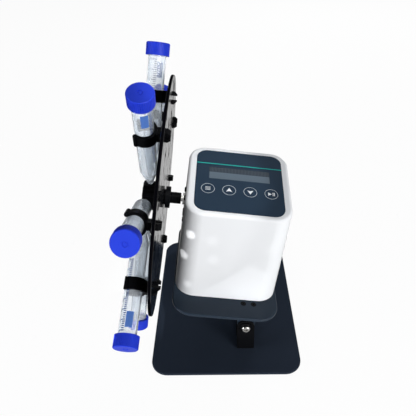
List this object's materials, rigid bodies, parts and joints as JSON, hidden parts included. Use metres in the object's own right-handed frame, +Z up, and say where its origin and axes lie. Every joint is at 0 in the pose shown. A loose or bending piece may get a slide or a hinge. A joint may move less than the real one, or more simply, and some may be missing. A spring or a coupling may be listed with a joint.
{
  "type": "tube rotator",
  "caption": "Bench rotator: tilting white motor head with a sloping key panel on a dark base plate, turning a black disc of snap clips that hold capped conical tubes.",
  "frame": {"origin": "centre of the base plate's underside, at bench level", "axes": "+Z up, -Y toward the operator, -X toward the rotating disc; the tilt axis runs along Y"},
  "size_m": [0.192, 0.2853, 0.3257],
  "materials": {
    "base_paint": "fine satin powder coat",
    "bracket_black": "satin black paint",
    "tray_paint": "fine satin powder coat",
    "housing_white": "glossy moulded",
    "panel_navy": "satin printed film",
    "window_grey": "clear grey lens",
    "display_module": "satin bezel",
    "clip_black": "moulded satin",
    "disc_black": "polished sheet",
    "tube_clear": "clear moulded",
    "cap_blue": "ribbed satin",
    "screw_bright": "bright plated",
    "screw_black": "black oxide",
    "hub_black": "black anodised",
    "rubber_black": "soft moulded",
    "insert_brass": "turned",
    "board_green": "solder mask",
    "motor_steel": "zinc plated"
  },
  "bodies": {
    "base": {"base_plate": "base_paint", "rubber_feet": "rubber_black", "tilt_bracket": "bracket_black", "bracket_screws": "screw_black", "bracket_nuts": "screw_bright"},
    "head": {"board_screws": "screw_bright", "control_board": "board_green", "control_overlay": "panel_navy", "driver_board": "board_green", "driver_pillars": "insert_brass", "front_pivot_lug": "tray_paint", "gearbox": "motor_steel", "housing": "housing_white", "housing_screws": "screw_black", "inlet_nut": "screw_bright", "lcd_module": "display_module", "lcd_window": "window_grey", "lower_tray": "tray_paint", "lug_screws": "screw_black", "motor_can": "motor_steel", "motor_screws": "screw_black", "pivot_screws": "screw_bright", "pivot_washers": "clip_black", "power_inlet": "clip_black", "rear_pivot_lug": "tray_paint", "switch_frame": "clip_black", "tact_switches": "clip_black"},
    "rotor": {"output_shaft": "motor_steel", "shaft_hub": "hub_black", "hub_grub_screw": "screw_black", "rotor_disc": "disc_black", "clamp_knob": "clip_black", "knob_insert": "insert_brass", "tube_clip_1": "clip_black", "tube_clip_2": "clip_black", "tube_clip_3": "clip_black", "tube_clip_4": "clip_black", "tube_clip_5": "clip_black", "tube_clip_6": "clip_black", "tube_clip_7": "clip_black", "tube_clip_8": "clip_black", "tube_1": "tube_clear", "tube_2": "tube_clear", "tube_3": "tube_clear", "tube_4": "tube_clear", "tube_7": "tube_clear", "tube_8": "tube_clear"},
    "key_menu": {"key_menu": "panel_navy"},
    "key_up_arrow": {"key_up_arrow": "panel_navy"},
    "key_down_arrow": {"key_down_arrow": "panel_navy"},
    "key_start": {"key_start": "panel_navy"},
    "switch_rocker": {"switch_rocker": "clip_black"},
    "tube_cap_1": {"tube_cap_1": "cap_blue"},
    "tube_cap_2": {"tube_cap_2": "cap_blue"},
    "tube_cap_3": {"tube_cap_3": "cap_blue"},
    "tube_cap_4": {"tube_cap_4": "cap_blue"},
    "tube_cap_7": {"tube_cap_7": "cap_blue"},
    "tube_cap_8": {"tube_cap_8": "cap_blue"}
  },
  "joints": [
    {"name": "head_tilt", "type": "hinge", "parent": "base", "child": "head", "pos_m": [0.0228, -0.0215, 0.0453], "axis": [0, 1, 0], "range_deg": [-8.3, 81.7]},
    {"name": "rotor_spin", "type": "hinge", "parent": "head", "child": "rotor", "pos_m": [-0.06215, -0.0261, 0.18341], "axis": [-0.9895, 0, 0.1444], "continuous": true},
    {"name": "key_menu_press", "type": "slide", "parent": "head", "child": "key_menu", "axis": [-0.1411, 0.2096, -0.9675], "range_m": [0, 0.0005], "stiffness_N_per_m": 500, "springref_m": -0.001},
    {"name": "key_up_arrow_press", "type": "slide", "parent": "head", "child": "key_up_arrow", "axis": [-0.1411, 0.2096, -0.9675], "range_m": [0, 0.0005], "stiffness_N_per_m": 500, "springref_m": -0.001},
    {"name": "key_down_arrow_press", "type": "slide", "parent": "head", "child": "key_down_arrow", "axis": [-0.1411, 0.2096, -0.9675], "range_m": [0, 0.0005], "stiffness_N_per_m": 500, "springref_m": -0.001},
    {"name": "key_start_press", "type": "slide", "parent": "head", "child": "key_start", "axis": [-0.1411, 0.2096, -0.9675], "range_m": [0, 0.0005], "stiffness_N_per_m": 500, "springref_m": -0.001},
    {"name": "rocker_throw", "type": "hinge", "parent": "head", "child": "switch_rocker", "pos_m": [0.02495, 0.0273, 0.10158], "axis": [0.9895, 0, -0.1444], "range_deg": [0, 18]},
    {"name": "cap_1_turn", "type": "hinge", "parent": "rotor", "child": "tube_cap_1", "pos_m": [-0.07017, -0.16029, 0.23637], "axis": [0.0342, -0.9341, 0.3555], "range_deg": [0, 540]},
    {"name": "cap_2_turn", "type": "hinge", "parent": "rotor", "child": "tube_cap_2", "pos_m": [-0.06031, -0.08339, 0.31257], "axis": [0.0833, -0.4078, 0.9092], "range_deg": [0, 540]},
    {"name": "cap_3_turn", "type": "hinge", "parent": "rotor", "child": "tube_cap_3", "pos_m": [-0.05771, 0.0244, 0.3164], "axis": [0.1349, 0.3567, 0.9244], "range_deg": [0, 540]},
    {"name": "cap_4_turn", "type": "hinge", "parent": "rotor", "child": "tube_cap_4", "pos_m": [-0.06858, 0.10119, 0.24189], "axis": [0.0589, 0.9128, 0.4041], "range_deg": [0, 540]},
    {"name": "cap_7_turn", "type": "hinge", "parent": "rotor", "child": "tube_cap_7", "pos_m": [-0.09627, -0.07759, 0.05211], "axis": [-0.1349, -0.3567, -0.9244], "range_deg": [0, 540]},
    {"name": "cap_8_turn", "type": "hinge", "parent": "rotor", "child": "tube_cap_8", "pos_m": [-0.08563, -0.1628, 0.12504], "axis": [-0.0589, -0.9128, -0.4041], "range_deg": [0, 540]}
  ]
}
